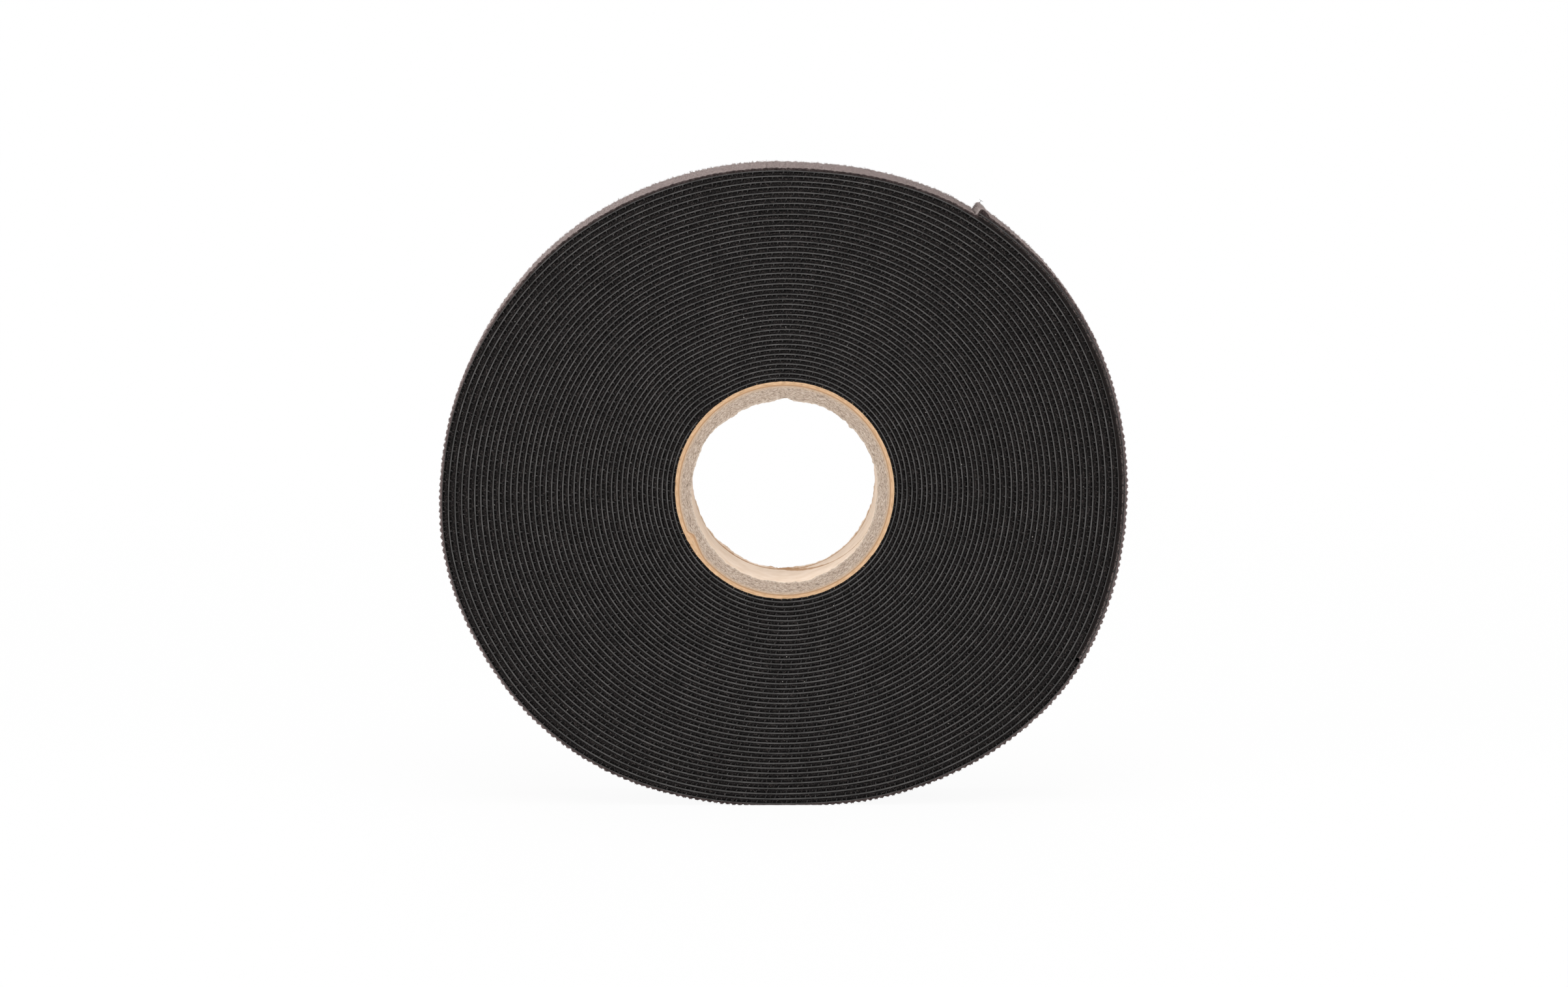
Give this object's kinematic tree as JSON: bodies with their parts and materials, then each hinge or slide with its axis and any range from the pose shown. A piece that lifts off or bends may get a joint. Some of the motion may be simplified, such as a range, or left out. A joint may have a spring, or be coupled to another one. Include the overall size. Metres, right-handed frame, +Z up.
{
  "type": "hook and loop tape roll",
  "caption": "Roll of black back-to-back hook and loop tape on a paperboard core, standing on its rim, with a loose tail that peels off the outer turn.",
  "frame": {"origin": "on the floor under the middle of the core's axis, where the roll stands on its rim", "axes": "+Z up, +Y along the core's axis from the front face to the rear face, +X to the right seen from the front"},
  "size_m": [0.1851, 0.025, 0.1734],
  "materials": {
    "liner_paper": "smooth cream paper with a brown spiral seam",
    "chipboard": "grey recycled board, fibrous cut edge",
    "kraft_paper": "orange-tan kraft paper, cut edge",
    "bond_adhesive": "dull adhesive strip",
    "tape_laminate": "black film with moulded hooks inside and brushed loops outside",
    "hook_strip": "black moulded film with rows of hooks",
    "loop_strip": "black brushed nylon loops"
  },
  "bodies": {
    "roll": {"core_liner": "liner_paper", "core_board_1": "chipboard", "core_board_2": "chipboard", "core_board_3": "chipboard", "core_board_4": "chipboard", "core_kraft_1": "kraft_paper", "core_kraft_2": "kraft_paper", "core_bond_strip": "bond_adhesive", "tape_winding": "tape_laminate"},
    "tail_1": {"tail_hook_strip_1": "hook_strip", "tail_loop_strip_1": "loop_strip"},
    "tail_2": {"tail_hook_strip_2": "hook_strip", "tail_loop_strip_2": "loop_strip"},
    "tail_3": {"tail_hook_strip_3": "hook_strip", "tail_loop_strip_3": "loop_strip"},
    "tail_4": {"tail_hook_strip_4": "hook_strip", "tail_loop_strip_4": "loop_strip"},
    "tail_5": {"tail_hook_strip_5": "hook_strip", "tail_loop_strip_5": "loop_strip"},
    "tail_6": {"tail_hook_strip_6": "hook_strip", "tail_loop_strip_6": "loop_strip"},
    "tail_7": {"tail_hook_strip_7": "hook_strip", "tail_loop_strip_7": "loop_strip"},
    "tail_8": {"tail_hook_strip_8": "hook_strip", "tail_loop_strip_8": "loop_strip"}
  },
  "joints": [
    {"name": "tail_peel", "type": "hinge", "parent": "roll", "child": "tail_1", "pos_m": [0.08268, 0, 0.04765], "axis": [0, 1, 0], "range_deg": [0, 20]},
    {"name": "tail_bend_2", "type": "hinge", "parent": "tail_1", "child": "tail_2", "pos_m": [0.08803, 0, 0.06262], "axis": [0, 1, 0], "range_deg": [0, 20]},
    {"name": "tail_bend_3", "type": "hinge", "parent": "tail_2", "child": "tail_3", "pos_m": [0.09051, 0, 0.07829], "axis": [0, 1, 0], "range_deg": [0, 20]},
    {"name": "tail_bend_4", "type": "hinge", "parent": "tail_3", "child": "tail_4", "pos_m": [0.09026, 0, 0.0941], "axis": [0, 1, 0], "range_deg": [0, 20]},
    {"name": "tail_bend_5", "type": "hinge", "parent": "tail_4", "child": "tail_5", "pos_m": [0.08742, 0, 0.10963], "axis": [0, 1, 0], "range_deg": [0, 20]},
    {"name": "tail_bend_6", "type": "hinge", "parent": "tail_5", "child": "tail_6", "pos_m": [0.08204, 0, 0.12446], "axis": [0, 1, 0], "range_deg": [0, 20]},
    {"name": "tail_bend_7", "type": "hinge", "parent": "tail_6", "child": "tail_7", "pos_m": [0.07419, 0, 0.13816], "axis": [0, 1, 0], "range_deg": [0, 20]},
    {"name": "tail_bend_8", "type": "hinge", "parent": "tail_7", "child": "tail_8", "pos_m": [0.06402, 0, 0.15022], "axis": [0, 1, 0], "range_deg": [0, 20]}
  ],
  "couplings": [
    {"joint": "tail_bend_2", "follows": "tail_peel", "ratio": 1},
    {"joint": "tail_bend_3", "follows": "tail_peel", "ratio": 1},
    {"joint": "tail_bend_4", "follows": "tail_peel", "ratio": 1},
    {"joint": "tail_bend_5", "follows": "tail_peel", "ratio": 1},
    {"joint": "tail_bend_6", "follows": "tail_peel", "ratio": 1},
    {"joint": "tail_bend_7", "follows": "tail_peel", "ratio": 1},
    {"joint": "tail_bend_8", "follows": "tail_peel", "ratio": 1}
  ]
}
